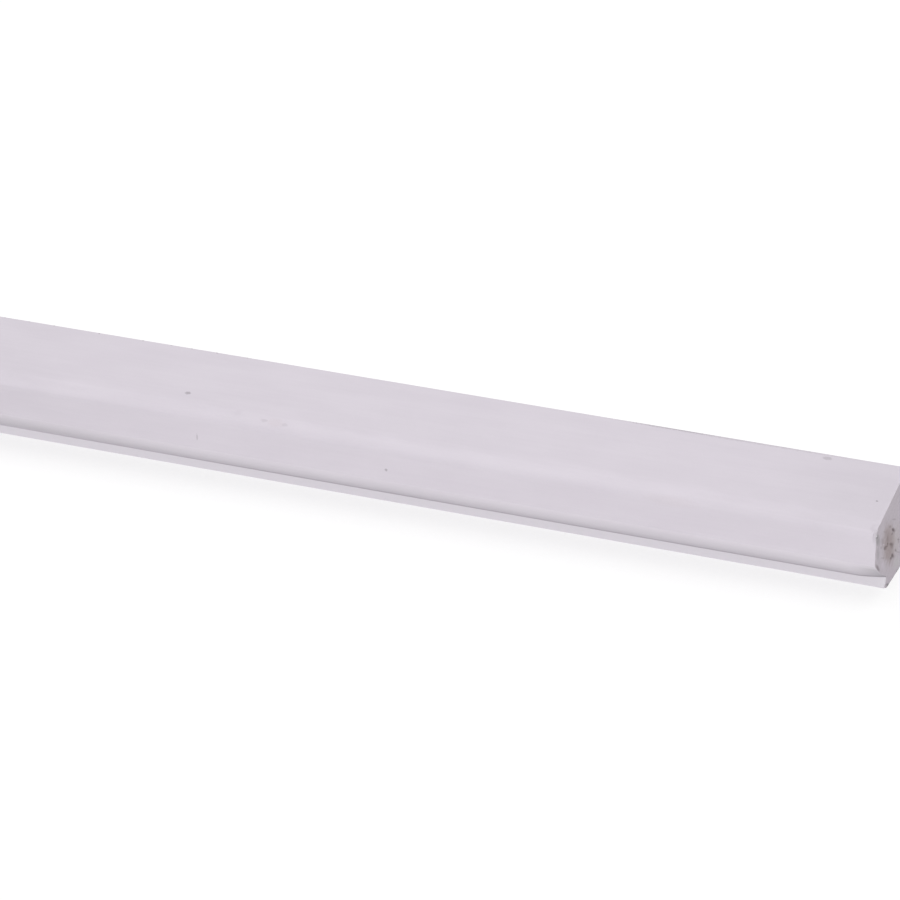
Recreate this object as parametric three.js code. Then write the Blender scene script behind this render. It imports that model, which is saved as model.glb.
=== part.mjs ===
// Timber glazing bead, primed white: one straight length of moulding, sawn square at its ends.
// Millimetres, +Z up. X runs along the bead, -Y is the room or weather side and +Y the glass side.
// The origin is the middle of the length and of the depth, at the level the foot stands on.
import {
  ExtrudeGeometry,
  Group,
  Matrix4,
  Mesh,
  MeshStandardMaterial,
  Shape,
  Vector2,
  Vector3,
} from 'three';

// Overall sizes
const LENGTH = 190;
const DEPTH = 20;
const GLASS_SIDE_HEIGHT = 20;
const RIDGE_HEIGHT = 16.3;

// Nose: the upright front and its undercut
const NOSE_UNDERSIDE_HEIGHT = 8.9;
const UNDERSIDE_CROWN = 0.3;

// Foot: the set-back strip that the bead stands on
const FOOT_SET_BACK = 8.5;
const FOOT_HEIGHT = 2;

// Softened edges: how far the ridge's easing reaches over the top and down the front, and small radii
const RIDGE_EASE_TOP = 4;
const RIDGE_EASE_FRONT = 2;
const NOSE_RADIUS = 0.8;
const FOOT_RADIUS = 0.3;
const GLASS_TOP_RADIUS = 0.3;
const GLASS_BOTTOM_RADIUS = 0.6;
const SEGMENTS_PER_CURVE = 8;

// White primer over timber
const PRIMER = { color: 0xd7d1d9, roughness: 0.55, metalness: 0 };

// Corners of the section, as (across, up): across is negative at the front and positive at the glass
const FRONT = -DEPTH / 2;
const GLASS = DEPTH / 2;
const FOOT_FRONT = FRONT + FOOT_SET_BACK;
const corner = {
  footFront: new Vector2(FOOT_FRONT, 0),
  glassBottom: new Vector2(GLASS, 0),
  glassTop: new Vector2(GLASS, GLASS_SIDE_HEIGHT),
  ridge: new Vector2(FRONT, RIDGE_HEIGHT),
  nose: new Vector2(FRONT, NOSE_UNDERSIDE_HEIGHT),
  crease: new Vector2(FOOT_FRONT, FOOT_HEIGHT),
};

// The point at a distance from one point towards another
function towards(from, to, distance) {
  return to.clone().sub(from).setLength(distance).add(from);
}

// Runs the outline up to a corner and round it, on an arc that touches both of its sides
function roundCorner(outline, before, at, after, radius) {
  const toBefore = before.clone().sub(at).normalize();
  const toAfter = after.clone().sub(at).normalize();
  const halfAngle = Math.acos(toBefore.dot(toAfter)) / 2;
  const start = towards(at, before, radius / Math.tan(halfAngle));
  const end = towards(at, after, radius / Math.tan(halfAngle));
  const bisector = toBefore.add(toAfter).normalize();
  const centre = at.clone().addScaledVector(bisector, radius / Math.sin(halfAngle));
  const startAngle = start.clone().sub(centre).angle();
  const endAngle = end.clone().sub(centre).angle();
  outline.absarc(centre.x, centre.y, radius, startAngle, endAngle, false);
}

// The section: flat foot, upright glass side, sloped top, eased ridge, upright nose and its underside
function beadSection() {
  const { footFront, glassBottom, glassTop, ridge, nose, crease } = corner;
  const outline = new Shape();
  roundCorner(outline, crease, footFront, glassBottom, FOOT_RADIUS);
  roundCorner(outline, footFront, glassBottom, glassTop, GLASS_BOTTOM_RADIUS);
  roundCorner(outline, glassBottom, glassTop, ridge, GLASS_TOP_RADIUS);

  const easeStart = towards(ridge, glassTop, RIDGE_EASE_TOP);
  const easeEnd = towards(ridge, nose, RIDGE_EASE_FRONT);
  outline.lineTo(easeStart.x, easeStart.y);
  outline.quadraticCurveTo(ridge.x, ridge.y, easeEnd.x, easeEnd.y);

  roundCorner(outline, ridge, nose, crease, NOSE_RADIUS);
  const underside = crease.clone().sub(nose).normalize();
  const outward = new Vector2(underside.y, -underside.x);
  const crown = nose.clone().lerp(crease, 0.5).addScaledVector(outward, 2 * UNDERSIDE_CROWN);
  outline.quadraticCurveTo(crown.x, crown.y, crease.x, crease.y);
  outline.closePath();
  return outline;
}

// The section swept along X, with the middle of its length at the origin
function beadGeometry() {
  const geometry = new ExtrudeGeometry(beadSection(), {
    depth: LENGTH,
    bevelEnabled: false,
    curveSegments: SEGMENTS_PER_CURVE,
  });
  const across = new Vector3(0, 1, 0);
  const up = new Vector3(0, 0, 1);
  const along = new Vector3(1, 0, 0);
  geometry.translate(0, 0, -LENGTH / 2);
  geometry.applyMatrix4(new Matrix4().makeBasis(across, up, along));
  return geometry;
}

const bead = new Mesh(beadGeometry(), new MeshStandardMaterial(PRIMER));
bead.name = 'glazing_bead';

const part = new Group();
part.add(bead);

export default part;
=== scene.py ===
"""A primed timber glazing bead: one sawn length of moulding, standing on a pale studio floor.

Metres, +Z up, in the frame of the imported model: X runs along the bead, -Y is the room or weather
side and +Y the glass side. Sizes are written in millimetres, except in the studio, and scaled by MM.
"""

import logging
import math
from collections.abc import Mapping, Sequence
from dataclasses import dataclass, field
from enum import Enum, auto
from typing import Any, Union

import bmesh
import bpy
import numpy as np
from mathutils import Matrix, Vector
from mathutils.geometry import delaunay_2d_cdt

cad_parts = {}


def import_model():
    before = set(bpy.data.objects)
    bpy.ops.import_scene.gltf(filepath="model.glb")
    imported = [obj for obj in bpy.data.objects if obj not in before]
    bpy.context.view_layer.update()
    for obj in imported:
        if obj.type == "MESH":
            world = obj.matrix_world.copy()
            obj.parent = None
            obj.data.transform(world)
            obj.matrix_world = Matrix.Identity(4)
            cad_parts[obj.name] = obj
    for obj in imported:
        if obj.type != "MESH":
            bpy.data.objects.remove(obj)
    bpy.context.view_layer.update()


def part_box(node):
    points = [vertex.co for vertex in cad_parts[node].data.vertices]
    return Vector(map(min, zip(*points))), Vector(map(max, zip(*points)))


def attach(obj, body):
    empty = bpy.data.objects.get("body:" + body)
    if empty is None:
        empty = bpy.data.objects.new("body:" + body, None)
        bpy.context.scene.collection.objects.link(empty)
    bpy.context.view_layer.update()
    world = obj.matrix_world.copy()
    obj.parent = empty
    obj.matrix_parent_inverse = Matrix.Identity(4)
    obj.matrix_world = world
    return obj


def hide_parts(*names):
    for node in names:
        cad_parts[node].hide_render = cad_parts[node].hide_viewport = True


LOG = logging.getLogger("glazing_bead")

MM = 0.001
CAD_NODE = "glazing_bead"
BODY = "root"

Colour = tuple[float, float, float]
Point = tuple[float, float, float]
Pair = tuple[float, float]
Number = Union[int, float, "Signal"]
Axes = tuple["Signal", "Signal", "Signal"]

# The bead's main places in millimetres: along X its right end, and across and up its main faces
LENGTH = 190.0
RIGHT_END = LENGTH / 2
FRONT = -10.0
GLASS = 10.0
GLASS_TOP = 20.0
FOOT_FRONT = -1.5
RIDGE_TOP = 16.3
# How far the ridge's easing reaches over the top and down the front
EASE_OVER = 4.0
EASE_DOWN = 2.0

WHITE = (1.0, 1.0, 1.0, 1.0)
TORN: Colour = (0.095, 0.068, 0.070)
GREYED: Colour = (0.125, 0.135, 0.125)
LIMED: Colour = (0.58, 0.52, 0.60)
WARMED: Colour = (0.43, 0.385, 0.375)
COOLED: Colour = (0.47, 0.46, 0.46)


class End(Enum):
    """The two sawn ends, by the sign of X."""

    LEFT = -1
    RIGHT = 1


class Run(Enum):
    """The stretches of the section's outline, in the order they are drawn."""

    FOOT_EDGE = auto()
    BASE = auto()
    GLASS_BOTTOM = auto()
    GLASS_SIDE = auto()
    GLASS_TOP = auto()
    TOP = auto()
    RIDGE = auto()
    FRONT = auto()
    NOSE = auto()
    UNDERSIDE = auto()
    CREASE = auto()
    FOOT_FRONT = auto()


# The photograph's view


@dataclass(frozen=True)
class PhotoView:
    """The photograph's camera, fitted to the bead's edges, in millimetres, degrees and pixels.

    The nudge is the small move over which a place's rates are taken.
    """

    azimuth: float = 21.1297
    elevation: float = 26.2937
    aim: Point = (6.318, 4.879, 10.0)
    distance: float = 839.163
    lens: float = 175.468
    sensor: float = 36.0
    photo_side: float = 900.0
    nudge: float = 0.05

    @property
    def focal_pixels(self) -> float:
        """The lens's focal length in pixels of the photo."""
        return self.lens / self.sensor * self.photo_side

    def frame(self) -> tuple[np.ndarray, np.ndarray, np.ndarray]:
        """The directions to the photo's right, to its top and back to the camera."""
        turn, tilt = math.radians(self.azimuth), math.radians(self.elevation)
        right = np.array((math.cos(turn), math.sin(turn), 0.0))
        level = np.array((math.sin(turn), -math.cos(turn), 0.0))
        upright = np.array((0.0, 0.0, 1.0))
        top = upright * math.cos(tilt) - level * math.sin(tilt)
        back = level * math.cos(tilt) + upright * math.sin(tilt)
        return right, top, back

    def eye(self) -> np.ndarray:
        """Where the camera stands."""
        return np.array(self.aim) + self.frame()[2] * self.distance

    def pixel(self, across: float, up: float) -> np.ndarray:
        """Which column and row of the photo show a place on the right sawn end."""
        right, top, back = self.frame()
        away = np.array((RIGHT_END, across, up)) - self.eye()
        seen = np.array((away @ right, -(away @ top))) / -(away @ back)
        return self.photo_side / 2 + seen * self.focal_pixels

    def meeting(self, column: float, row: float, at: Point, facing: Point) -> np.ndarray:
        """Where the line of sight through a pixel of the photo meets a flat face.

        Args:
            column: How far the pixel lies from the photo's left edge.
            row: How far it lies from the top edge.
            at: A place on the face.
            facing: The direction that the face looks in.

        Returns:
            The place in millimetres.
        """
        right, top, back = self.frame()
        columns, rows = column - self.photo_side / 2, row - self.photo_side / 2
        sight = right * columns - top * rows - back * self.focal_pixels
        eye = self.eye()
        return eye + sight * ((np.array(at) - eye) @ facing) / (sight @ facing)

    def end_place(self, column: float, row: float) -> np.ndarray:
        """How far across and up on the right sawn end a pixel of the photo lies."""
        return self.meeting(column, row, (RIGHT_END, 0.0, 0.0), (1.0, 0.0, 0.0))[1:]

    def end_rates(self, across: float, up: float) -> np.ndarray:
        """How the photo's pixel moves with a place on the right sawn end.

        Args:
            across: How far across the bead the place lies.
            up: How high it lies.

        Returns:
            Columns, then rows, to a millimetre across and to a millimetre up.
        """
        moved = [self.pixel(across + self.nudge, up), self.pixel(across, up + self.nudge)]
        return (np.array(moved) - self.pixel(across, up)).T / self.nudge


VIEW = PhotoView()


@dataclass(frozen=True)
class Face:
    """A long face of the bead: a place on it, and the direction that it looks in."""

    at: Point
    facing: Point

    def place(self, column: float, row: float) -> Point:
        """Where on the face a pixel of the photo lies."""
        return tuple(VIEW.meeting(column, row, self.at, self.facing).tolist())


def ridge_face() -> Face:
    """The middle of the ridge's easing, which curves from the top's slope to the upright front."""
    slope = np.array((GLASS - FRONT, GLASS_TOP - RIDGE_TOP))
    over = slope / np.hypot(*slope) * EASE_OVER
    down = np.array((0.0, -EASE_DOWN))
    across, up = (np.array((FRONT, RIDGE_TOP)) + (over + down) / 4).tolist()
    run = (over - down).tolist()
    return Face((0.0, across, up), (0.0, -run[1], run[0]))


TOP_FACE = Face((0.0, GLASS, GLASS_TOP), (0.0, RIDGE_TOP - GLASS_TOP, GLASS - FRONT))
FRONT_FACE = Face((0.0, FRONT, 0.0), (0.0, -1.0, 0.0))
RIDGE_FACE = ridge_face()

# Where the photo shows the small marks on the long faces: the column and row of each, read off
LEFT_SPECK = TOP_FACE.place(188.0, 393.0)
REAR_SPECK = TOP_FACE.place(827.4, 458.2)
END_SPECK = TOP_FACE.place(877.0, 501.0)
FRONT_SPECK = FRONT_FACE.place(386.0, 470.0)
FRONT_SPOT = FRONT_FACE.place(197.0, 437.0)
LEFT_KNOCK = RIDGE_FACE.place(264.0, 420.0)
RIGHT_KNOCK = RIDGE_FACE.place(284.5, 424.5)
FAINT_KNOCK = RIDGE_FACE.place(237.5, 411.5)
KNOCKED_RIDGE = RIDGE_FACE.place(275.5, 422.5)


# Node graphs


class Graph:
    """A shader or geometry node tree being filled in."""

    def __init__(self, tree: bpy.types.NodeTree) -> None:
        """Keep the tree that nodes are added to."""
        self.tree = tree

    def node(
        self,
        kind: str,
        settings: Mapping[str, Any] | None = None,
        sockets: Mapping[str | int, Any] | None = None,
    ) -> bpy.types.Node:
        """Add one node.

        Args:
            kind: The node's type name.
            settings: Its properties, set first.
            sockets: A value, a socket or a Signal for each named or numbered input.

        Returns:
            The new node.
        """
        made = self.tree.nodes.new(kind)
        for name, value in (settings or {}).items():
            setattr(made, name, value)
        for key, value in (sockets or {}).items():
            if isinstance(value, Signal):
                self.tree.links.new(value.socket, made.inputs[key])
            elif isinstance(value, bpy.types.NodeSocket):
                self.tree.links.new(value, made.inputs[key])
            else:
                made.inputs[key].default_value = value
        return made

    def output(self, kind: str, *given: Any, **named: Any) -> "Signal":
        """Add one node, as node does, and wrap its first output."""
        return Signal(self, self.node(kind, *given, **named).outputs[0])

    def signal(self, socket: bpy.types.NodeSocket) -> "Signal":
        """Wrap an output socket for use in expressions."""
        return Signal(self, socket)

    def vector(self, x: Number, y: Number, z: Number) -> "Signal":
        """Join three numbers or signals into a vector."""
        return self.output("ShaderNodeCombineXYZ", sockets={0: x, 1: y, 2: z})

    def split(self, vector: "Signal | bpy.types.NodeSocket") -> Axes:
        """Split a vector into its three parts."""
        made = self.node("ShaderNodeSeparateXYZ", sockets={0: vector})
        x, y, z = (self.signal(output) for output in made.outputs)
        return x, y, z

    def noise(self, place: "Signal", seed: Number, detail: float = 2.0, rough: float = 0.5) -> "Signal":
        """Fractal noise around 0.5.

        Args:
            place: Where to read it, one unit being about one lump.
            seed: Moves to another pattern.
            detail: How many finer layers are added.
            rough: How strong the finer layers are.

        Returns:
            The noise value.
        """
        sockets = {"Vector": place, "W": seed, "Scale": 1.0, "Detail": detail, "Roughness": rough}
        return self.output("ShaderNodeTexNoise", {"noise_dimensions": "4D"}, sockets)

    def blend(self, factor: Number, first: Any, second: Any) -> "Signal":
        """Mix two colours.

        Args:
            factor: 0 gives the first colour and 1 the second.
            first: A colour or a colour signal.
            second: A colour or a colour signal.

        Returns:
            The mixed colour.
        """
        first, second = (
            (*colour, 1.0) if isinstance(colour, tuple) else colour for colour in (first, second)
        )
        sockets = {0: factor, 6: first, 7: second}
        made = self.node("ShaderNodeMix", {"data_type": "RGBA"}, sockets)
        return self.signal(made.outputs[2])

    def scaled(self, vector: "Signal | bpy.types.NodeSocket", amount: Number) -> "Signal":
        """Multiply a colour or a vector by a number."""
        sockets = {0: vector, "Scale": amount}
        return self.output("ShaderNodeVectorMath", {"operation": "SCALE"}, sockets)

    def attribute(self, name: str) -> "Signal":
        """Read one of the mesh's number attributes."""
        made = self.node("ShaderNodeAttribute", {"attribute_name": name})
        return self.signal(made.outputs["Fac"])


class Signal:
    """A number or vector in a node tree; arithmetic on it adds Math nodes."""

    def __init__(self, graph: Graph, socket: bpy.types.NodeSocket) -> None:
        """Keep the graph and the output socket that carries the value."""
        self.graph = graph
        self.socket = socket

    def _math(self, operation: str, *values: Number) -> "Signal":
        """Add one Math node on the values."""
        return self.graph.output("ShaderNodeMath", {"operation": operation}, dict(enumerate(values)))

    def __add__(self, other: Number) -> "Signal":
        """self + other."""
        return self._math("ADD", self, other)

    def __radd__(self, other: Number) -> "Signal":
        """other + self."""
        return self._math("ADD", other, self)

    def __sub__(self, other: Number) -> "Signal":
        """self - other."""
        return self._math("SUBTRACT", self, other)

    def __rsub__(self, other: Number) -> "Signal":
        """other - self."""
        return self._math("SUBTRACT", other, self)

    def __mul__(self, other: Number) -> "Signal":
        """self * other."""
        return self._math("MULTIPLY", self, other)

    def __rmul__(self, other: Number) -> "Signal":
        """other * self."""
        return self._math("MULTIPLY", other, self)

    def __truediv__(self, other: Number) -> "Signal":
        """self / other."""
        return self._math("DIVIDE", self, other)

    def __pow__(self, other: Number) -> "Signal":
        """self ** other."""
        return self._math("POWER", self, other)

    def fraction(self) -> "Signal":
        """The part after the decimal point."""
        return self._math("FRACT", self)

    def root(self) -> "Signal":
        """The square root."""
        return self._math("SQRT", self)

    def most(self, other: Number) -> "Signal":
        """The larger of two values."""
        return self._math("MAXIMUM", self, other)

    def step(self, start: float, end: float) -> "Signal":
        """Ease from 0 at start to 1 at end.

        Args:
            start: Where the result is 0.
            end: Where the result is 1; it may lie below start.

        Returns:
            The eased value, held between 0 and 1.
        """
        low, high = min(start, end), max(start, end)
        sockets = {"Value": self, "From Min": low, "From Max": high}
        smooth = {"interpolation_type": "SMOOTHSTEP"}
        eased = self.graph.output("ShaderNodeMapRange", smooth, sockets)
        return eased if start < end else 1 - eased


# Finishes


@dataclass(frozen=True)
class Lumps:
    """A noise pattern around 0.5.

    Args:
        rates: How many lumps it has to a millimetre along X, Y and Z.
        seed: Moves to another pattern.
        detail: How many finer layers are added.
        rough: How strong the finer layers are.
    """

    rates: Point
    seed: float
    detail: float = 2.0
    rough: float = 0.5

    def read(self, graph: Graph, axes: Axes) -> Signal:
        """The pattern's value over the surface, whose X, Y and Z are in millimetres."""
        place = graph.vector(*(axis * rate for axis, rate in zip(axes, self.rates)))
        return graph.noise(place, self.seed, self.detail, self.rough)


@dataclass(frozen=True)
class Mark:
    """A small soft-edged mark on the bead, in millimetres.

    Args:
        place: Its middle.
        reach: How far it spreads along X, Y and Z.
        strength: How fully it covers.
        core: The share of its reach that is covered fully.
        raggedness: How much noise breaks up its edge.
    """

    place: Point
    reach: Point
    strength: float = 1.0
    core: float = 0.45
    raggedness: float = 0.9

    def mask(self, axes: Axes, ragged: Signal) -> Signal:
        """Where the mark shows.

        Args:
            axes: The surface's X, Y and Z in millimetres.
            ragged: Noise around 0.5 that breaks up the mark's edge.

        Returns:
            0 outside the mark and its strength inside.
        """
        parts = [(axis - at) / reach for axis, at, reach in zip(axes, self.place, self.reach)]
        far = (parts[0] ** 2 + parts[1] ** 2 + parts[2] ** 2).root()
        far += (ragged - 0.5) * self.raggedness
        return far.step(1.0, self.core) * self.strength


@dataclass(frozen=True)
class Primer:
    """White primer on the long faces: a lilac cast, faint streaks, small marks, painted light and
    shade.
    """

    pale: Colour = (0.694, 0.646, 0.710)
    shaded: Colour = (0.654, 0.606, 0.670)
    grime: Colour = (0.30, 0.27, 0.30)
    bare: Colour = (0.46, 0.33, 0.30)
    chipped: Colour = (0.27, 0.255, 0.265)
    # The foot's tint, blended in between these steps of the painted light that brightens the foot
    foot: Colour = (0.676, 0.645, 0.690)
    lit_foot_steps: Pair = (1.06, 1.12)
    roughness: float = 0.42
    roughness_spread: float = 0.12
    ragged: Lumps = Lumps((3.0, 3.0, 3.0), 4.0)
    cloud: Lumps = Lumps((1 / 16, 1 / 5, 1 / 5), 1.0, 3.0)
    streak: Lumps = Lumps((1 / 30, 1.4, 1.4), 2.0, 3.0)
    spray: Lumps = Lumps((2.2, 2.2, 2.2), 3.0, 2.0)
    tone_steps: Pair = (0.3, 0.7)
    tone_shares: Point = (0.6, 0.25, 0.15)
    relief_shares: Pair = (0.7, 0.3)
    bump_strength: float = 0.12
    bump_depth: float = 0.2
    # Specks on the top and the front, three knocks on the ridge, and the grimy rear edge
    specks: tuple[Mark, ...] = (
        Mark(LEFT_SPECK, (0.75, 0.6, 1.0), 0.6),
        Mark(FRONT_SPECK, (0.4, 1.0, 0.35), 0.6),
        Mark(REAR_SPECK, (1.2, 0.7, 1.0), 0.35),
        Mark(END_SPECK, (0.3, 0.3, 1.0), 0.7),
        Mark(FRONT_SPOT, (0.25, 1.0, 0.9), 0.35),
        Mark(LEFT_KNOCK, (0.95, 0.6, 0.6), 0.2, 0.4),
        Mark(RIGHT_KNOCK, (0.9, 0.55, 0.55), 0.16, 0.4),
        Mark(FAINT_KNOCK, (1.2, 1.6, 1.6), 0.06, 0.2),
        Mark((60.0, GLASS, GLASS_TOP), (34.0, 1.2, 0.5), 0.3, 0.3),
        Mark((50.0, GLASS, GLASS_TOP), (12.0, 0.7, 0.35), 0.45, 0.6),
    )
    dings: tuple[Mark, ...] = (
        Mark(KNOCKED_RIDGE, (2.4, 1.5, 1.5), 0.09, 0.3),
        Mark((56.0, -9.8, 15.0), (7.0, 1.4, 1.4), 0.05),
    )
    chips: tuple[Mark, ...] = (
        Mark((RIGHT_END, FRONT, 15.0), (0.75, 1.2, 1.5), 0.9, 0.2),
        Mark((RIGHT_END, FOOT_FRONT, 0.2), (0.55, 0.6, 1.1), 0.9, 0.3),
        Mark((RIGHT_END, FOOT_FRONT, 1.3), (0.45, 0.6, 1.4), 0.45, 0.0),
    )
    nick_places: tuple[float, ...] = (-90.1, -84.8, -79.3, -69.5, -60.0, -54.0, -49.5, -44.2, -37.8)
    nick_reach: Point = (0.32, 0.65, 0.5)
    nick_strength: float = 0.7

    def nicks(self) -> list[Mark]:
        """The nicks along the rear top edge."""
        places = [(along, GLASS, GLASS_TOP) for along in self.nick_places]
        return [Mark(place, self.nick_reach, self.nick_strength) for place in places]

    def material(self) -> bpy.types.Material:
        """Build the finish.

        Returns:
            The material for the long faces.
        """
        made, graph, shader = blank_material("white_primer_with_painted_light")
        axes = object_millimetres(graph)
        patterns = (self.ragged, self.cloud, self.streak, self.spray)
        ragged, cloud, streak, spray = (pattern.read(graph, axes) for pattern in patterns)

        cloudy, streaked, sprayed = (
            pattern.step(*self.tone_steps) * share
            for pattern, share in zip((cloud, streak, spray), self.tone_shares)
        )
        colour = graph.blend(cloudy + streaked + sprayed, self.shaded, self.pale)
        small_marks = ((self.grime, self.specks), (self.bare, self.dings), (self.grime, self.nicks()))
        for tint, marks in small_marks:
            for mark in marks:
                colour = graph.blend(mark.mask(axes, ragged), colour, tint)
        # Painted light and shade from the mesh: they turn the brightened foot to its tint and scale the
        # colour
        light_and_tone = graph.attribute("light_and_tone")
        colour = graph.blend(light_and_tone.step(*self.lit_foot_steps), colour, self.foot)
        for chip in self.chips:
            colour = graph.blend(chip.mask(axes, ragged), colour, self.chipped)
        connect(graph, shader, "Base Color", graph.scaled(colour, light_and_tone))
        roughness = self.roughness + (spray - 0.5) * self.roughness_spread
        connect(graph, shader, "Roughness", roughness)
        relief = spray * self.relief_shares[0] + streak * self.relief_shares[1]
        add_bump(graph, shader, relief, self.bump_strength, self.bump_depth)
        return made


@dataclass(frozen=True)
class Flaw:
    """A torn pit, a stain or a painted shadow in the right sawn end, an ellipse measured in the photo's
    pixels.

    Args:
        middle: The column and row of its middle.
        reach: Half of its length and half of its breadth.
        heading: The way its length points, in columns and rows.
        cover: How fully it covers what lies under it.
        deep: How deep it is torn, in millimetres.
        core: The share of its reach that is covered fully.
        tint: Its colour.
        shift: From where it was read to where it lies, for the pixels' middles and the pits' depth.
        raggedness: How much noise breaks up its edge.
        edge: The share of its reach at which it ends.
    """

    middle: Pair
    reach: Pair
    heading: Pair
    cover: float
    deep: float
    core: float
    tint: Colour = TORN
    shift: Pair = (0.9, 0.8)
    raggedness: float = 0.5
    edge: float = 1.15

    def far_squared(self, across: Any, up: Any) -> Any:
        """The square of how far a place lies from the middle, 1 being the edge.

        Args:
            across: Signals or numbers across the bead, in millimetres.
            up: Signals or numbers upwards, in millimetres.

        Returns:
            The squared share, of the same kind as the places.
        """
        middle_y, middle_z = VIEW.end_place(*np.add(self.middle, self.shift)).tolist()
        turn = math.atan2(self.heading[1], self.heading[0])
        turned = np.array(((math.cos(turn), math.sin(turn)), (-math.sin(turn), math.cos(turn))))
        shares = turned @ VIEW.end_rates(middle_y, middle_z) / np.array(self.reach)[:, None]
        (along_y, along_z), (beside_y, beside_z) = shares.tolist()
        off_y, off_z = across - middle_y, up - middle_z
        along = off_y * along_y + off_z * along_z
        beside = off_y * beside_y + off_z * beside_z
        return along**2 + beside**2

    def mask(self, across: Signal, up: Signal, ragged: Signal) -> Signal:
        """Where the flaw shows.

        Args:
            across: The surface's Y in millimetres.
            up: The surface's Z in millimetres.
            ragged: Noise around 0.5 that breaks up the flaw's edge.

        Returns:
            0 outside the flaw and its cover inside.
        """
        far = self.far_squared(across, up).root() + (ragged - 0.5) * self.raggedness
        return far.step(self.edge, self.core) * self.cover


# Each is measured on an enlargement of the photo, in the whole photo's columns and rows
END_FLAWS = {
    "warm right side": Flaw((896.5, 538.0), (22.0, 6.0), (-0.1, 1.0), 0.35, 0.0, 0.1, WARMED),
    "cool lower right": Flaw((896.5, 562.0), (8.0, 5.0), (-0.3, 1.0), 0.50, 0.0, 0.1, COOLED),
    "torn pore": Flaw((893.0, 529.2), (2.7, 1.9), (0.1, 1.0), 0.86, 0.14, 0.2),
    "tail of the torn pore": Flaw((891.8, 532.8), (2.2, 0.9), (-0.45, 1.0), 0.50, 0.04, 0.2),
    "grey spot": Flaw((889.4, 526.0), (1.7, 1.3), (0.0, 1.0), 0.35, 0.02, 0.2),
    "grey patch": Flaw((893.5, 518.6), (2.5, 1.3), (1.0, 0.0), 0.28, 0.02, 0.2),
    "brown spot": Flaw((891.2, 545.5), (4.0, 2.6), (0.15, 1.0), 0.35, 0.04, 0.0),
    "top of the brown spot": Flaw((890.9, 543.4), (2.8, 2.1), (1.0, 0.1), 0.55, 0.10, 0.1),
    "olive streak": Flaw((886.9, 538.0), (7.0, 1.6), (0.0, 1.0), 0.32, 0.0, 0.0),
    "end of the olive streak": Flaw((887.0, 543.2), (1.7, 1.0), (0.0, 1.0), 0.55, 0.04, 0.3),
    "slanted blot": Flaw((884.5, 547.4), (2.9, 1.8), (0.35, -1.0), 0.68, 0.08, 0.1),
    "link to the blot": Flaw((886.3, 545.6), (1.8, 1.0), (1.0, -1.0), 0.45, 0.04, 0.3),
    "faint dark spot": Flaw((880.4, 547.0), (2.2, 1.1), (0.0, 1.0), 0.30, 0.0, 0.0),
    "hook": Flaw((892.2, 554.8), (3.0, 1.8), (0.1, 1.0), 0.80, 0.12, 0.2),
    "foot of the hook": Flaw((890.6, 557.4), (2.4, 1.6), (-0.6, 1.0), 0.60, 0.08, 0.1),
    "small spot": Flaw((895.0, 549.6), (2.0, 1.2), (0.3, 1.0), 0.50, 0.04, 0.2),
    "line from the small spot": Flaw((897.5, 551.3), (2.4, 0.7), (1.0, 0.15), 0.35, 0.0, 0.2),
    "upright of the cross": Flaw((897.8, 539.5), (3.8, 0.9), (0.0, 1.0), 0.30, 0.02, 0.2),
    "bar of the cross": Flaw((898.0, 538.8), (2.4, 0.8), (1.0, 0.0), 0.30, 0.02, 0.2),
    "wedge at the nose": Flaw((877.0, 567.4), (4.4, 1.7), (2.6, 7.0), 0.52, 0.0, 0.3),
    # A painted shadow along the front edge of the sawn end
    "painted shadow along the front edge": Flaw((877.3, 553.5), (8.5, 1.7), (0.0, 1.0), 0.25, 0.0, 0.1, GREYED),
    "spot in the chip": Flaw((876.2, 535.6), (2.6, 2.4), (0.0, 1.0), 0.85, 0.04, 0.1, GREYED),
    "facet of the chip": Flaw((877.0, 540.0), (6.2, 3.0), (0.1, 1.0), 0.38, 0.05, 0.3, GREYED),
    "foot's front corner": Flaw((887.2, 584.0), (2.2, 1.8), (1.0, 0.0), 0.62, 0.04, 0.3, GREYED),
    "base at the right": Flaw((896.6, 569.8), (2.3, 1.3), (-0.5, 1.0), 0.40, 0.02, 0.2, GREYED),
    "base at the left": Flaw((892.2, 578.0), (2.5, 1.1), (-0.5, 1.0), 0.35, 0.02, 0.2, GREYED),
    "faint level line": Flaw((882.0, 557.3), (2.7, 1.1), (1.0, 0.0), 0.22, 0.0, 0.2),
    "faint upright line": Flaw((881.5, 540.5), (4.6, 1.7), (0.0, 1.0), 0.22, 0.0, 0.1),
    "faint high line": Flaw((884.2, 531.2), (1.6, 0.8), (1.0, 0.3), 0.22, 0.0, 0.2),
    "pale area": Flaw((882.2, 564.5), (5.5, 2.2), (0.0, 1.0), 0.40, 0.0, 0.1, LIMED),
    "pale nick": Flaw((883.0, 544.0), (1.2, 1.0), (1.0, 0.0), 0.50, 0.0, 0.2, LIMED),
}


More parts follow.
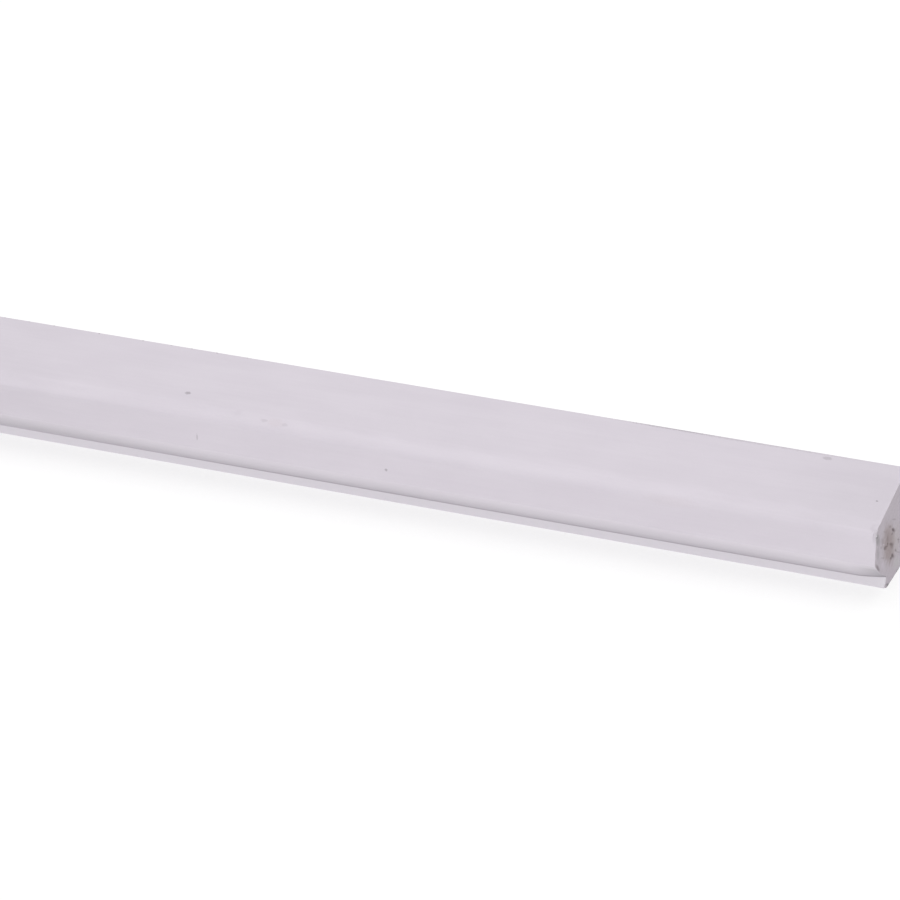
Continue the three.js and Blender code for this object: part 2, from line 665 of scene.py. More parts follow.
@dataclass(frozen=True)
class SawnGrain:
    """Sawn end grain under a thin wash of primer that leaves a torn brown patch bare."""

    wash: Colour = (0.47, 0.425, 0.47)
    bare: Colour = (0.33, 0.275, 0.285)
    rim: Colour = (0.66, 0.62, 0.67)
    roughness: float = 0.85
    roughness_spread: float = 0.2
    ragged: Lumps = Lumps((1.0, 1.6, 1.6), 5.0, 4.0, 0.6)
    warp: Lumps = Lumps((1.0, 1 / 4, 1 / 4), 6.0)
    blotch: Lumps = Lumps((1.0, 1 / 1.5, 1 / 1.5), 8.0, 1.0)
    faint: Lumps = Lumps((1.0, 1 / 2.2, 1 / 2.2), 7.0, 2.0)
    faint_steps: Pair = (0.35, 0.7)
    ring_centre: Pair = (16.0, -30.0)
    ring_pitch: float = 1.7
    ring_warp: float = 1.6
    ring_darkening: Pair = (0.35, 0.95)
    ring_edge: Pair = (1.0, 0.96)
    ring_cover: float = 0.10
    pore_rate: float = 2.6
    pore_edge: Pair = (0.20, 0.10)
    pore_cover: float = 0.10
    bare_pore_cover: float = 0.15
    patch_middle: Pair = (-0.6, 9.0)
    patch_reach: Pair = (4.4, 5.0)
    patch_slant: float = 1.1
    patch_raggedness: Pair = (0.8, 0.35)
    patch_edge: Pair = (1.15, 0.35)
    right_half: Pair = (-1.0, 1.0)
    wash_line: float = 12.0
    wash_fade: float = 2.0
    glass_rim: Pair = (8.5, 9.5)
    rim_raggedness: float = 0.3
    rim_reach: Pair = (0.30, 0.05)
    relief_shares: Pair = (0.7, 0.4)
    bump_strength: float = 0.35
    bump_depth: float = 0.25

    def material(self, flaws: Sequence[Flaw]) -> bpy.types.Material:
        """Build the finish.

        Args:
            flaws: The torn pits, stains and painted shadow of the right end.

        Returns:
            The material for the sawn ends.
        """
        made, graph, shader = blank_material("sawn_end_grain")
        axes = object_millimetres(graph)
        x, y, z = axes
        patterns = (self.ragged, self.warp, self.blotch, self.faint)
        ragged, warp, blotch, faint = (pattern.read(graph, axes) for pattern in patterns)

        from_y, from_z = y - self.ring_centre[0], z - self.ring_centre[1]
        radius = (from_y**2 + from_z**2).root() + warp * self.ring_warp
        ring = (radius / self.ring_pitch).fraction()
        late = ring.step(*self.ring_darkening) * ring.step(*self.ring_edge)

        cells = graph.output(
            "ShaderNodeTexVoronoi",
            {"voronoi_dimensions": "3D", "feature": "F1"},
            {"Vector": graph.vector(0.0, y * self.pore_rate, z * self.pore_rate), "Scale": 1.0},
        )
        pore = cells.step(*self.pore_edge)

        off_y = (y - self.patch_middle[0]) / self.patch_reach[0]
        off_z = (z - self.patch_middle[1]) / self.patch_reach[1]
        far = (off_y**2 + off_z**2 + off_y * off_z * self.patch_slant).most(0.0).root()
        for pattern, raggedness in zip((blotch, ragged), self.patch_raggedness):
            far += (pattern - 0.5) * raggedness
        patch = far.step(*self.patch_edge)

        colour = graph.blend(patch, self.wash, self.bare)
        colour = graph.blend(late * faint.step(*self.faint_steps) * self.ring_cover, colour, TORN)
        sound = graph.blend(pore * (self.pore_cover + patch * self.bare_pore_cover), colour, TORN)
        colour = sound
        for flaw in flaws:
            colour = graph.blend(flaw.mask(y, z, ragged), colour, flaw.tint)
        colour = graph.blend(x.step(*self.right_half), sound, colour)
        inset = graph.attribute("rim") + (ragged - 0.5) * self.rim_raggedness
        painted = (z - self.wash_line).step(0.0, self.wash_fade).most(y.step(*self.glass_rim))
        colour = graph.blend(inset.step(*self.rim_reach) * painted, colour, self.rim)

        connect(graph, shader, "Base Color", colour)
        roughness = self.roughness + (ragged - 0.5) * self.roughness_spread
        connect(graph, shader, "Roughness", roughness)
        relief = ragged * self.relief_shares[0] - pore * self.relief_shares[1]
        add_bump(graph, shader, relief, self.bump_strength, self.bump_depth)
        return made


@dataclass(frozen=True)
class PlainFinish:
    """An even, matt finish for the studio floor."""

    name: str
    colour: Colour
    roughness: float
    glow: float = 0.0

    def material(self) -> bpy.types.Material:
        """Build the finish.

        Returns:
            The material, with its constants on the shader's own sockets.
        """
        made, _, shader = blank_material(self.name)
        shader.inputs["Base Color"].default_value = (*self.colour, 1.0)
        shader.inputs["Roughness"].default_value = self.roughness
        shader.inputs["Emission Color"].default_value = WHITE
        shader.inputs["Emission Strength"].default_value = self.glow
        return made


def blank_material(name: str) -> tuple[bpy.types.Material, Graph, bpy.types.Node]:
    """Start a material.

    Args:
        name: The material's name.

    Returns:
        The material, its graph and its Principled shader.
    """
    made = bpy.data.materials.new(name)
    made.use_nodes = True
    return made, Graph(made.node_tree), made.node_tree.nodes["Principled BSDF"]


def object_millimetres(graph: Graph) -> Axes:
    """The surface's X, Y and Z in the part's own frame, in millimetres."""
    place = graph.node("ShaderNodeTexCoord").outputs["Object"]
    return graph.split(graph.scaled(place, 1 / MM))


def connect(graph: Graph, shader: bpy.types.Node, name: str, value: Signal) -> None:
    """Link a varying value to one of the shader's inputs."""
    graph.tree.links.new(value.socket, shader.inputs[name])


def add_bump(
    graph: Graph, shader: bpy.types.Node, relief: Signal, strength: float, depth: float
) -> None:
    """Raise and sink the shading.

    Args:
        graph: The material's graph.
        shader: Its Principled shader.
        relief: How high the surface stands, around 0.5.
        strength: The bump's strength.
        depth: How many millimetres one unit of relief stands for.
    """
    sockets = {"Strength": strength, "Distance": depth * MM, "Height": relief}
    connect(graph, shader, "Normal", graph.output("ShaderNodeBump", sockets=sockets))


# The section


@dataclass(frozen=True)
class Section:
    """The bead's section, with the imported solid's sizes in millimetres."""

    depth: float = GLASS - FRONT
    glass_side_height: float = GLASS_TOP
    ridge_height: float = RIDGE_TOP
    nose_underside_height: float = 8.9
    underside_crown: float = 0.3
    foot_set_back: float = FOOT_FRONT - FRONT
    foot_height: float = 2.0
    ridge_ease_top: float = EASE_OVER
    ridge_ease_front: float = EASE_DOWN
    nose_radius: float = 0.8
    foot_radius: float = 0.3
    glass_top_radius: float = 0.3
    glass_bottom_radius: float = 0.6
    crease_fill: float = 0.25
    curve_points: int = 9
    ridge_points: int = 22
    spacing: float = 0.6

    @property
    def front(self) -> float:
        """Where the nose's upright front stands across the bead."""
        return -self.depth / 2

    @property
    def foot_front(self) -> float:
        """Where the foot's upright front stands across the bead."""
        return self.front + self.foot_set_back

    def corners(self) -> dict[str, Vector]:
        """The section's sharp corners as (across, up)."""
        glass = self.depth / 2
        return {
            "foot_front": Vector((self.foot_front, 0.0)),
            "glass_bottom": Vector((glass, 0.0)),
            "glass_top": Vector((glass, self.glass_side_height)),
            "ridge": Vector((self.front, self.ridge_height)),
            "nose": Vector((self.front, self.nose_underside_height)),
            "crease": Vector((self.foot_front, self.foot_height)),
        }

    def outline(self) -> tuple[np.ndarray, list[Run]]:
        """Draw the section, anticlockwise with the glass side to the right.

        Returns:
            The points in millimetres, one row each, and the run that each point belongs to.
        """
        at = self.corners()
        middle = at["nose"].lerp(at["crease"], 0.5)
        lean = (at["crease"] - at["nose"]).normalized()
        crown = middle + Vector((lean.y, -lean.x)) * 2 * self.underside_crown
        ease_start = toward(at["ridge"], at["glass_top"], self.ridge_ease_top)
        ease_end = toward(at["ridge"], at["nose"], self.ridge_ease_front)
        nose = self._round(at["ridge"], at["nose"], at["crease"], self.nose_radius)
        # The crease's small arc takes the place of the underside's last two points
        underside = bend(nose[-1], crown, at["crease"], self.curve_points)
        crease = self._round(underside[-3], at["crease"], at["foot_front"], self.crease_fill)
        foot = self._round(at["crease"], at["foot_front"], at["glass_bottom"], self.foot_radius)
        glass_bottom = self._round(
            at["foot_front"], at["glass_bottom"], at["glass_top"], self.glass_bottom_radius
        )
        glass_top = self._round(
            at["glass_bottom"], at["glass_top"], at["ridge"], self.glass_top_radius
        )
        pieces = [
            (Run.FOOT_EDGE, foot),
            (Run.BASE, [foot[-1], glass_bottom[0]]),
            (Run.GLASS_BOTTOM, glass_bottom),
            (Run.GLASS_SIDE, [glass_bottom[-1], glass_top[0]]),
            (Run.GLASS_TOP, glass_top),
            (Run.TOP, [glass_top[-1], ease_start]),
            (Run.RIDGE, bend(ease_start, at["ridge"], ease_end, self.ridge_points)),
            (Run.FRONT, [ease_end, nose[0]]),
            (Run.NOSE, nose),
            (Run.UNDERSIDE, [*underside[:-2], crease[0]]),
            (Run.CREASE, crease),
            (Run.FOOT_FRONT, [crease[-1], foot[0]]),
        ]
        points: list[Vector] = []
        runs: list[Run] = []
        for run, piece in pieces:
            for start, end in zip(piece, piece[1:]):
                count = max(1, math.ceil((end - start).length / self.spacing))
                points += [start.lerp(end, step / count) for step in range(count)]
                runs += [run] * count
        return np.array([tuple(point) for point in points]), runs

    def _round(self, before: Vector, at: Vector, after: Vector, radius: float) -> list[Vector]:
        """Round one corner with an arc that touches both of its sides.

        Args:
            before: A point on the side that leads to the corner.
            at: The corner.
            after: A point on the side that leaves it.
            radius: The arc's radius.

        Returns:
            The arc's points.
        """
        back, onward = (before - at).normalized(), (after - at).normalized()
        half = back.angle(onward) / 2
        centre = at + (back + onward).normalized() * radius / math.sin(half)
        start = at + back * radius / math.tan(half) - centre
        sweep = math.pi - 2 * half
        turn = math.copysign(sweep, start.y * back.x - start.x * back.y)
        steps = [turn * step / (self.curve_points - 1) for step in range(self.curve_points)]
        return [centre + Matrix.Rotation(angle, 2) @ start for angle in steps]


def toward(start: Vector, end: Vector, distance: float) -> Vector:
    """The point at a distance from one point towards another."""
    return start + (end - start).normalized() * distance


def bend(start: Vector, control: Vector, end: Vector, count: int) -> list[Vector]:
    """Points on a curve that leaves towards the control point and arrives from it.

    Args:
        start: The first point.
        control: The point that the curve leans towards.
        end: The last point.
        count: How many points to give.

    Returns:
        The points, both ends included.
    """
    shares = [step / (count - 1) for step in range(count)]
    return [
        start * (1 - share) ** 2 + control * 2 * share * (1 - share) + end * share**2
        for share in shares
    ]


# The bead

# How many times shorter the planed waves are round the section than along it
WAVE_NARROWING = 3


@dataclass(frozen=True)
class Dent:
    """A place where the faces are pushed in or raised, in millimetres.

    Args:
        place: Its middle.
        reach: How far it spreads along X, Y and Z.
        shift: How far the middle is moved along X, Y and Z.
    """

    place: Point
    reach: Point
    shift: Point


@dataclass
class SawnEnd:
    """One sawn end face: a fine mesh with saw marks and torn pits, all cut inwards."""

    side: End
    plane: float
    flaws: tuple[Flaw, ...] = ()
    spacing: float = 0.25
    rim_gap: float = 0.12
    saw_pitch: float = 1.3
    saw_depth: float = 0.012
    blade_middle: Pair = (-70.0, -96.0)
    tear_depth: float = 0.06
    tear_rate: float = 1.3
    rim_fade: float = 0.4
    jitter: float = 0.15
    material_index: int = 1
    inside_faces: int = 1
    merge_distance: float = 1e-6
    seed: int = 3

    def close(self, shell: bmesh.types.BMesh, ring: list[bmesh.types.BMVert]) -> None:
        """Close one end of the swept shell.

        Args:
            shell: The open shell.
            ring: The shell's last ring of vertices, in order round the section.
        """
        rim_layer = shell.verts.layers.float["rim"]
        edge = np.array([(vert.co.y, vert.co.z) for vert in ring]) / MM
        inner = self._inner_points(edge)
        every = [Vector(row) for row in np.vstack([edge, inner])]
        loop = [(step, (step + 1) % len(edge)) for step in range(len(edge))]
        points, _, faces, sources, _, _ = delaunay_2d_cdt(
            every, loop, [], self.inside_faces, self.merge_distance
        )
        places = np.array([tuple(point) for point in points])
        rims = outline_distance(edge, places)
        planes = self.plane - self.side.value * self._relief(places, rims)
        made: list[bmesh.types.BMVert] = []
        for place, plane, rim, source in zip(places * MM, planes * MM, rims, sources):
            if source and source[0] < len(ring):
                made.append(ring[source[0]])
                continue
            vert = shell.verts.new((plane, *place))
            vert[rim_layer] = rim
            made.append(vert)
        for face in faces:
            order = face if self.side is End.RIGHT else face[::-1]
            cap = shell.faces.new([made[index] for index in order])
            cap.material_index = self.material_index
            cap.smooth = True
        for first, second in zip(ring, ring[1:] + ring[:1]):
            shell.edges.get((first, second)).smooth = False

    def _inner_points(self, edge: np.ndarray) -> np.ndarray:
        """Spread points over the face in a jittered honeycomb.

        Args:
            edge: The outline in millimetres.

        Returns:
            The points inside the outline, in millimetres.
        """
        chance = np.random.default_rng(self.seed)
        low, high = edge.min(0), edge.max(0)
        rows = np.arange(low[1], high[1], self.spacing * math.sqrt(3) / 2)
        columns = np.arange(low[0], high[0], self.spacing)
        grid = np.array(
            [
                (column + self.spacing / 2 * (index % 2), row)
                for index, row in enumerate(rows)
                for column in columns
            ]
        )
        grid += chance.uniform(-self.jitter, self.jitter, grid.shape) * self.spacing
        grid = grid[inside(edge, grid)]
        return grid[outline_distance(edge, grid) > self.rim_gap]

    def _relief(self, places: np.ndarray, rims: np.ndarray) -> np.ndarray:
        """How deep the saw has cut.

        Args:
            places: Across and up, in millimetres, one row each.
            rims: Each place's distance from the outline, in millimetres.

        Returns:
            The depths below the end plane in millimetres, none of them negative.
        """
        across, up = places.T
        arc = np.hypot(across - self.blade_middle[0], up - self.blade_middle[1])
        saw = self.saw_depth * half_wave(np.sin(2 * np.pi * arc / self.saw_pitch))
        lumps = smooth_noise(across * self.tear_rate, up * self.tear_rate, self.seed)
        depth = saw + self.tear_depth * half_wave(lumps)
        for flaw in self.flaws:
            depth += flaw.deep * np.sqrt(np.clip(1 - flaw.far_squared(across, up), 0, 1))
        return depth * ramp(rims, 0, self.rim_fade)


@dataclass(frozen=True)
class PaintedLightAndTone:
    """Painted light and shade on the primer: gains and losses beside 1, places in millimetres.

    Each dull stretch is where it starts along X, where it is full, and how much paleness it loses.
    """

    # Painted shade on the underside, darker near both ends, and in the crease, darker near the right
    # end and lighter near the left
    recess_shade: float = 0.34
    recess_above_nose: float = 0.4
    recess_curve: float = 1.15
    end_loss: float = 0.26
    end_reach: Pair = (5.8, 0.8)
    end_curve: float = 1.5
    end_below_nose: Pair = (0.3, 1.8)
    end_least: float = 0.4
    end_crease_loss: float = 0.2
    end_crease_reach: float = 8.0
    start_loss: float = 0.12
    start_reach: float = 60.0
    start_above_foot: Pair = (0.4, 2.0)
    start_crease_gain: float = 0.21
    # The paint's burr at the saw cut with a painted highlight, painted light on the foot, and a patchy
    # painted highlight along the ridge
    edge_gain: float = 0.03
    edge_reach: float = 0.8
    foot_light: float = 0.145
    ridge_highlight: float = 0.018
    ridge_inset: float = 2.9
    ridge_reach: float = 1.3
    ridge_floor: float = 14.0
    ridge_lumps: Pair = (7.0, 3.0)
    top_below_ridge: float = 0.5
    front_inset: float = 0.3
    front_below_ridge: float = 0.6
    dull_top: tuple[Point, ...] = ((-68.0, -80.0, 0.02), (70.0, 86.0, 0.045))
    dull_front: Point = (-20.0, -85.0, 0.045)

    def over(
        self, place: np.ndarray, runs: Sequence[Run], section: Section, seed: int
    ) -> np.ndarray:
        """How far painted light and shade lighten or darken each vertex of the swept shell.

        Args:
            place: The vertices in millimetres, ring after ring.
            runs: The run of each point round a ring.
            section: The bead's section.
            seed: Moves the patchy painted highlight along the ridge to another pattern.

        Returns:
            The paleness of every vertex, in the same order.
        """
        along, across, up = place.T
        from_end, from_start = RIGHT_END - along, RIGHT_END + along
        rings = len(place) // len(runs)
        lies_on = {run: np.tile([step is run for step in runs], rings) for run in Run}
        nose, foot = section.nose_underside_height, section.foot_height
        light_and_tone = np.ones(len(place))

        # Painted shade on the underside, darkest near both ends, and in the crease, darkest near the
        # right end
        recess = ramp(up, nose + self.recess_above_nose, foot) ** self.recess_curve
        low = ramp(up, *(nose - below for below in self.end_below_nose))
        end = ramp(from_end, *self.end_reach) ** self.end_curve * np.maximum(low, self.end_least)
        start = ramp(from_start, self.start_reach, 0)
        clear = start * ramp(up, *(foot + above for above in self.start_above_foot))
        loss = self.recess_shade * recess + self.end_loss * end + self.start_loss * clear
        light_and_tone -= lies_on[Run.UNDERSIDE] * loss
        crease_loss = self.end_crease_loss * ramp(from_end, self.end_crease_reach, 0)
        crease_loss += self.recess_shade - self.start_crease_gain * start
        light_and_tone -= lies_on[Run.CREASE] * crease_loss

        # Painted light on the foot, the paint's burr at the saw cut with a painted highlight, and a
        # patchy painted highlight along the ridge
        light_and_tone += (lies_on[Run.FOOT_FRONT] | lies_on[Run.FOOT_EDGE]) * self.foot_light
        top = up > section.ridge_height - self.top_below_ridge
        light_and_tone += top * self.edge_gain * ramp(from_end, self.edge_reach, 0)
        beside = (across - section.front - self.ridge_inset) / self.ridge_reach
        patchy = 1 + smooth_noise(along / self.ridge_lumps[0], across / self.ridge_lumps[1], seed)
        light_and_tone += self.ridge_highlight * np.exp(-(beside**2)) * (up > self.ridge_floor) * patchy

        # Dull stretches of the top and of the front
        front = across < section.front + self.front_inset
        front &= up < section.ridge_height - self.front_below_ridge
        stretches = [(top, dull) for dull in self.dull_top] + [(front, self.dull_front)]
        for face, (begins, full, most) in stretches:
            light_and_tone -= face * most * ramp(along, begins, full)
        return light_and_tone


@dataclass
class GlazingBead:
    """The whole bead: a moulded length swept in geometry nodes, sculpted, and closed at its ends."""

    section: Section = field(default_factory=Section)
    primer: Primer = field(default_factory=Primer)
    grain: SawnGrain = field(default_factory=SawnGrain)
    light_and_tone: PaintedLightAndTone = field(default_factory=PaintedLightAndTone)
    flaws: tuple[Flaw, ...] = tuple(END_FLAWS.values())
    stations: int = 400
    crowding: float = 0.4
    wave_depth: float = 0.04
    wave_length: float = 9.0
    seed: int = 11
    crease_rise: float = 0.72
    crease_rise_reach: float = 5.4
    crease_rise_curve: float = 1.3
    foot_lift: float = 0.2
    foot_lift_reach: float = 27.0
    foot_lift_inset: float = 1.0
    dents: tuple[Dent, ...] = (
        Dent((RIGHT_END, -9.2, 16.4), (1.6, 1.5, 1.0), (0.0, -0.50, 0.42)),
        Dent((RIGHT_END, FRONT, 14.9), (0.7, 1.2, 1.4), (-0.45, 0.55, 0.0)),
        Dent((RIGHT_END, FOOT_FRONT, 0.4), (0.6, 0.8, 0.9), (-0.35, 0.25, 0.0)),
    )
    fibre_length: float = 0.07
    fibre_rate: float = 2.1
    fibre_seed: int = 20

    def build(self) -> bpy.types.Object:
        """Make the bead, dress it and put it in the CAD node's place.

        Returns:
            The finished object, at the origin.
        """
        primer = self.primer.material()
        grain = self.grain.material(self.flaws)
        outline, runs = self.section.outline()
        mesh = self._sweep(outline, primer)
        self._sculpt(mesh, runs)
        mesh.materials.append(grain)
        self._close_ends(mesh, runs)
        self._hold_to_box(mesh)
        made = bpy.data.objects.new("timber_bead", mesh)
        bpy.context.scene.collection.objects.link(made)
        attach(made, BODY)
        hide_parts(CAD_NODE)
        LOG.info("timber_bead: %d triangles", triangle_count(mesh))
        return made

    def _sweep(self, outline: np.ndarray, primer: bpy.types.Material) -> bpy.types.Mesh:
        """Sweep the section along the length with geometry nodes.

        Args:
            outline: The section in millimetres.
            primer: The long faces' material.

        Returns:
            A plain mesh of open rings, one after another along X.
        """
        drawn = bpy.data.meshes.new("bead_section")
        count = len(outline)
        # Curve to Mesh turns a profile half round when it runs along +X, so it is drawn half round
        flat = [(-across * MM, -up * MM, 0.0) for across, up in outline]
        drawn.from_pydata(flat, [(step, (step + 1) % count) for step in range(count)], [])
        source = bpy.data.objects.new("bead_section", drawn)
        bpy.context.scene.collection.objects.link(source)
        modifier = source.modifiers.new("moulded_length", "NODES")
        modifier.node_group = self._sweep_tree()
        values = {
            "Length": LENGTH * MM,
            "Stations": self.stations,
            "Crowding": self.crowding,
            "Wave depth": self.wave_depth * MM,
            "Wave length": self.wave_length * MM,
            "Seed": float(self.seed),
            "Finish": primer,
        }
        for item in modifier.node_group.interface.items_tree:
            if item.name in values:
                modifier[item.identifier] = values[item.name]
        evaluated = source.evaluated_get(bpy.context.evaluated_depsgraph_get())
        mesh = bpy.data.meshes.new_from_object(evaluated)
        mesh.name = "timber_bead"
        source.modifiers.remove(modifier)
        bpy.data.objects.remove(source)
        bpy.data.meshes.remove(drawn)
        return mesh

    @staticmethod
    def _sweep_tree() -> bpy.types.NodeTree:
        """Build the geometry nodes that run the section along the bead.

        Returns:
            The node group, whose inputs are the section, its length, stations, waves and finish.
        """
        tree = bpy.data.node_groups.new("moulded_length", "GeometryNodeTree")
        sockets = (
            ("Section", "NodeSocketGeometry"),
            ("Length", "NodeSocketFloat"),
            ("Stations", "NodeSocketInt"),
            ("Crowding", "NodeSocketFloat"),
            ("Wave depth", "NodeSocketFloat"),
            ("Wave length", "NodeSocketFloat"),
            ("Seed", "NodeSocketFloat"),
            ("Finish", "NodeSocketMaterial"),
        )
        for name, kind in sockets:
            tree.interface.new_socket(name, in_out="INPUT", socket_type=kind)
        tree.interface.new_socket("Bead", in_out="OUTPUT", socket_type="NodeSocketGeometry")
        graph = Graph(tree)
        given = graph.node("NodeGroupInput").outputs
        half = graph.signal(given["Length"]) * 0.5

        # The path, whose stations crowd together towards the sawn ends
        line = graph.output(
            "GeometryNodeCurvePrimitiveLine",
            sockets={"Start": graph.vector(half * -1, 0, 0), "End": graph.vector(half, 0, 0)},
        )
        even = graph.output(
            "GeometryNodeResampleCurve",
            {"mode": "COUNT"},
            {"Curve": line, "Count": given["Stations"]},
        )
        upright = graph.output("GeometryNodeSetCurveNormal", {"mode": "Z_UP"}, {"Curve": even})
        share = graph.split(graph.output("GeometryNodeInputPosition"))[0] / half
        crowding = graph.signal(given["Crowding"])
        crowded = share * (crowding + 1) - crowding * share**3
        path = graph.output(
            "GeometryNodeSetPosition",
            sockets={"Geometry": upright, "Position": graph.vector(crowded * half, 0, 0)},
        )

        # The sweep, with its faces planed slightly uneven
        profile = graph.output("GeometryNodeMeshToCurve", sockets={"Mesh": given["Section"]})
        swept = graph.output(
            "GeometryNodeCurveToMesh",
            sockets={"Curve": path, "Profile Curve": profile, "Fill Caps": False},
        )
        x, y, z = graph.split(graph.output("GeometryNodeInputPosition"))
        wave = graph.signal(given["Wave length"])
        lump = graph.noise(
            graph.vector(x / wave, y * WAVE_NARROWING / wave, z * WAVE_NARROWING / wave),
            graph.signal(given["Seed"]),
        )
        depth = lump * graph.signal(given["Wave depth"])
        inwards = graph.scaled(graph.output("GeometryNodeInputNormal"), depth * -1)
        planed = graph.output(
            "GeometryNodeSetPosition", sockets={"Geometry": swept, "Offset": inwards}
        )
        smooth = graph.output("GeometryNodeSetShadeSmooth", sockets={"Geometry": planed})
        real = graph.output("GeometryNodeRealizeInstances", sockets={"Geometry": smooth})
        finished = graph.output(
            "GeometryNodeSetMaterial", sockets={"Geometry": real, "Material": given["Finish"]}
        )
        graph.node("NodeGroupOutput", sockets={0: finished})
        return tree

    def _sculpt(self, mesh: bpy.types.Mesh, runs: list[Run]) -> None:
        """Work the swept faces where the real bead departs from its section.

        Args:
            mesh: The swept rings, changed in place.
            runs: The run of each point round a ring.
        """
        place = read_places(mesh).reshape(-1, len(runs), 3).astype(float) / MM
        from_end = RIGHT_END - place[:, :, 0]
        across, up = place[:, :, 1], place[:, :, 2]

        # The crease climbs the underside towards the right end
        nose, foot = self.section.nose_underside_height, self.section.foot_height
        rise = self.crease_rise * ramp(from_end, self.crease_rise_reach, 0) ** self.crease_rise_curve
        under = np.array([run in (Run.UNDERSIDE, Run.CREASE) for run in runs])
        foot_front = np.array([run is Run.FOOT_FRONT for run in runs])
        follow = under * ramp(up, nose, foot) + foot_front * ramp(up, 0, foot)

        # The foot's lower front edge is rubbed away towards the right end
        rub = self.foot_lift * ramp(from_end, self.foot_lift_reach, 0)
        foot_edge = np.array([run is Run.FOOT_EDGE for run in runs])
        inset = self.section.foot_front + self.foot_lift_inset
        rubbed = foot_edge * ramp(across, inset, self.section.foot_front)
        place[:, :, 2] += rise * follow + rub * rubbed

        # Chips and burrs at the right end, and fibres torn along both sawn edges
        for dent in self.dents:
            away = (place - np.array(dent.place)) / np.array(dent.reach)
            share = np.clip(1 - np.linalg.norm(away, axis=2) ** 2, 0, 1)
            place += share[:, :, None] * np.array(dent.shift)
        for side, ring in ((End.LEFT, 0), (End.RIGHT, -1)):
            torn = smooth_noise(*place[ring, :, 1:].T * self.fibre_rate, self.fibre_seed + side.value)
            place[ring, :, 0] -= side.value * self.fibre_length * half_wave(torn)
        write_places(mesh, place * MM)

    def _close_ends(self, mesh: bpy.types.Mesh, runs: list[Run]) -> None:
        """Close both ends of the shell with sawn faces.

        Args:
            mesh: The open shell, changed in place.
            runs: The run of each point round a ring.
        """
        shell = bmesh.new()
        shell.from_mesh(mesh)
        shell.verts.layers.float.new("rim")
        # The painted light and shade, kept on the vertices to scale the primer's colour
        light_and_tone_layer = shell.verts.layers.float.new("light_and_tone")
        shell.verts.ensure_lookup_table()
        place = np.array([tuple(vert.co) for vert in shell.verts]) / MM
        for vert, paleness in zip(shell.verts, self.light_and_tone.over(place, runs, self.section, self.seed)):
            vert[light_and_tone_layer] = paleness
        rings = {
            End.LEFT: shell.verts[: len(runs)],
            End.RIGHT: shell.verts[-len(runs) :],
        }
        for side, ring in rings.items():
            plane = side.value * RIGHT_END
            SawnEnd(side, plane, self.flaws if side is End.RIGHT else ()).close(shell, ring)
        shell.to_mesh(mesh)
        shell.free()

    @staticmethod
    def _hold_to_box(mesh: bpy.types.Mesh) -> None:
        """Keep every vertex inside the CAD node's box."""
        low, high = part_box(CAD_NODE)
        write_places(mesh, np.clip(read_places(mesh), np.array(low), np.array(high)))


def read_places(mesh: bpy.types.Mesh) -> np.ndarray:
    """Where the mesh's vertices are, in metres, one row each."""
    flat = np.empty(len(mesh.vertices) * 3, np.float32)
    mesh.vertices.foreach_get("co", flat)
    return flat.reshape(-1, 3)


def write_places(mesh: bpy.types.Mesh, places: np.ndarray) -> None:
    """Move the mesh's vertices to new places, in metres."""
    mesh.vertices.foreach_set("co", places.astype(np.float32).ravel())
    mesh.update()


def ramp(values: np.ndarray, start: float, end: float) -> np.ndarray:
    """Rise evenly from 0 at start to 1 at end, which may lie below start."""
    return np.clip((values - start) / (end - start), 0, 1)


def half_wave(values: np.ndarray) -> np.ndarray:
    """Turn values from -1 to 1 into values from 0 to 1."""
    return 0.5 + 0.5 * values


def smooth_noise(across: np.ndarray, up: np.ndarray, seed: int) -> np.ndarray:
    """Smooth, repeatable values from -1 to 1 over the plane, as crossing waves.

    Args:
        across: First coordinates, one unit being about one lump.
        up: Second coordinates.
        seed: Moves to another pattern.

    Returns:
        The value at each place.
    """
    layers = 4
    seed_turn, layer_turn = 1.7, 2.4
    seed_shift, layer_shift = 5.3, 1.9
    first_rate, rate_gain = 2.2, 1.5
    total = np.zeros_like(across)
    for layer in range(layers):
        turn = seed * seed_turn + layer * layer_turn
        far = across * math.cos(turn) + up * math.sin(turn)
        shift = seed * seed_shift + layer * layer_shift
        total += np.sin(far * (first_rate + rate_gain * layer) + shift)
    return total / layers


def inside(edge: np.ndarray, points: np.ndarray) -> np.ndarray:
    """Which points lie inside a closed outline.

    Args:
        edge: The outline's corners, one row each.
        points: The points to test, one row each.

    Returns:
        True for each point inside.
    """
    odd = np.zeros(len(points), bool)
    for (x0, y0), (x1, y1) in zip(edge, np.roll(edge, -1, 0)):
        spans = (y0 > points[:, 1]) != (y1 > points[:, 1])
        if y0 != y1:
            crossing = x0 + (points[:, 1] - y0) * (x1 - x0) / (y1 - y0)
            odd ^= spans & (points[:, 0] < crossing)
    return odd


def outline_distance(edge: np.ndarray, points: np.ndarray) -> np.ndarray:
    """How far points lie from a closed outline.

    Args:
        edge: The outline's corners, one row each.
        points: The points, one row each.

    Returns:
        The distance of each point.
    """
    shortest = 1e-12
    nearest = np.full(len(points), np.inf)
    for start, end in zip(edge, np.roll(edge, -1, 0)):
        side = end - start
        share = np.clip((points - start) @ side / max(side @ side, shortest), 0, 1)
        nearest = np.minimum(nearest, np.linalg.norm(points - start - share[:, None] * side, axis=1))
    return nearest


def triangle_count(mesh: bpy.types.Mesh) -> int:
    """How many triangles a mesh comes to."""
    return sum(len(face.vertices) - 2 for face in mesh.polygons)


# The studio


@dataclass(frozen=True)
class SoftLight:
    """One rectangular soft light, in metres and watts."""

    name: str
    place: Point
    aim: Point
    size: tuple[float, float]
    watts: float

    def build(self) -> None:
        """Hang the light."""
        data = bpy.data.lights.new(self.name, "AREA")
        data.shape = "RECTANGLE"
        data.size, data.size_y = self.size
        data.energy = self.watts
        made = bpy.data.objects.new(self.name, data)
        made.location = self.place
        made.rotation_euler = (
            (Vector(self.aim) - Vector(self.place)).to_track_quat("-Z", "Y").to_euler()
        )
        bpy.context.scene.collection.objects.link(made)


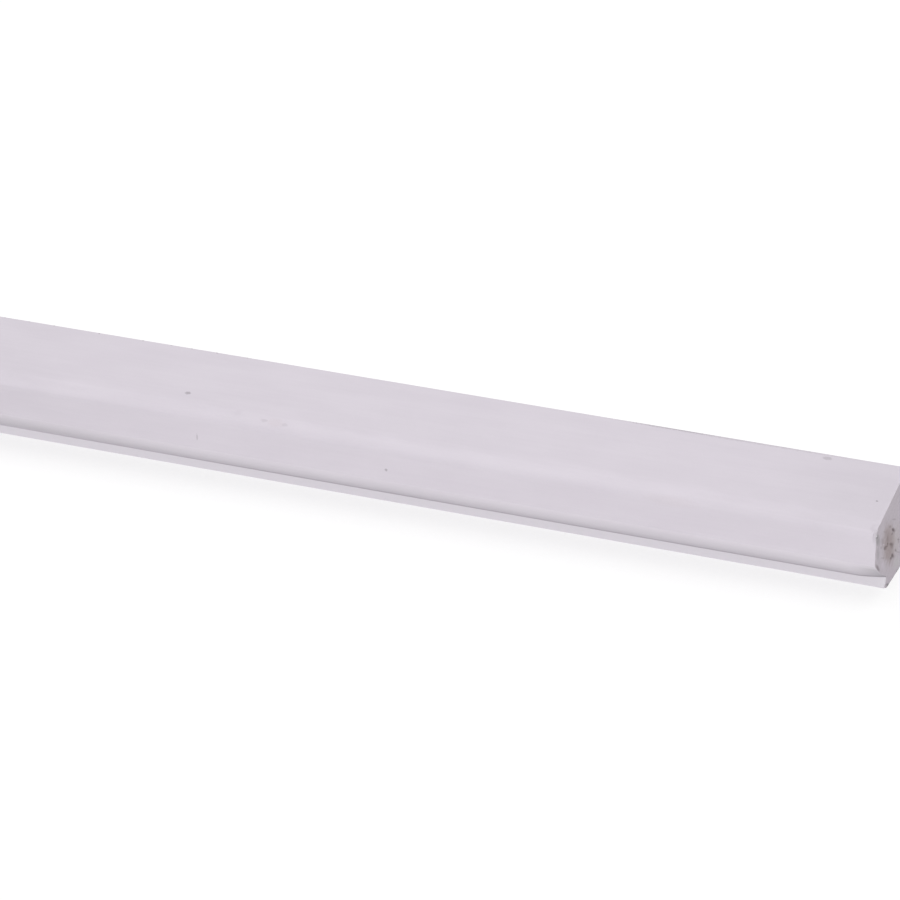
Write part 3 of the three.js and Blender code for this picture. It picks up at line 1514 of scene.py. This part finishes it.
@dataclass
class Studio:
    """A plain pale floor, an even white surround, soft lights and the camera."""

    floor_finish: PlainFinish = PlainFinish("pale_floor", (0.34, 0.34, 0.34), 0.9, 0.685)
    floor_reach: float = 3.0
    surround: float = 0.75
    lights: tuple[SoftLight, ...] = (
        SoftLight("front_light", (0.09, -1.035, 0.60), (0.0, 0.0, 0.01), (1.2, 0.5), 1.1),
        SoftLight("top_light", (0.0, -0.042, 1.20), (0.0, 0.0, 0.01), (1.2, 1.2), 4.2),
    )
    clip: Pair = (0.01, 20.0)

    def build(self) -> None:
        """Set up the floor, the surround, the lights and the camera."""
        self._floor()
        self._surround()
        for light in self.lights:
            light.build()
        self._camera()
        view = bpy.context.scene.view_settings
        view.view_transform = "Standard"
        view.look = "None"
        LOG.info("studio: %d soft lights", len(self.lights))

    def _floor(self) -> None:
        """Lay the floor at the level the bead stands on."""
        far = self.floor_reach
        mesh = bpy.data.meshes.new("studio_floor")
        corners = [(-far, -far, 0.0), (far, -far, 0.0), (far, far, 0.0), (-far, far, 0.0)]
        mesh.from_pydata(corners, [], [(0, 1, 2, 3)])
        mesh.materials.append(self.floor_finish.material())
        made = bpy.data.objects.new("studio_floor", mesh)
        bpy.context.scene.collection.objects.link(made)

    def _surround(self) -> None:
        """Light the scene evenly from all round."""
        world = bpy.data.worlds.new("studio_surround")
        world.use_nodes = True
        background = world.node_tree.nodes["Background"]
        background.inputs["Color"].default_value = WHITE
        background.inputs["Strength"].default_value = self.surround
        bpy.context.scene.world = world

    def _camera(self) -> None:
        """Put the camera where the photograph was taken from."""
        data = bpy.data.cameras.new("camera")
        data.sensor_width = VIEW.sensor
        data.lens = VIEW.lens
        data.clip_start, data.clip_end = self.clip
        made = bpy.data.objects.new("camera", data)
        made.location = Vector(VIEW.eye() * MM)
        made.rotation_euler = Vector(-VIEW.frame()[2]).to_track_quat("-Z", "Y").to_euler()
        bpy.context.scene.collection.objects.link(made)
        bpy.context.scene.camera = made


def main() -> None:
    """Build the bead and its studio, and write how large it came out."""
    logging.basicConfig(level=logging.INFO, format="%(name)s: %(message)s")
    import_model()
    Studio().build()
    GlazingBead().build()


if __name__ == "__main__":
    main()
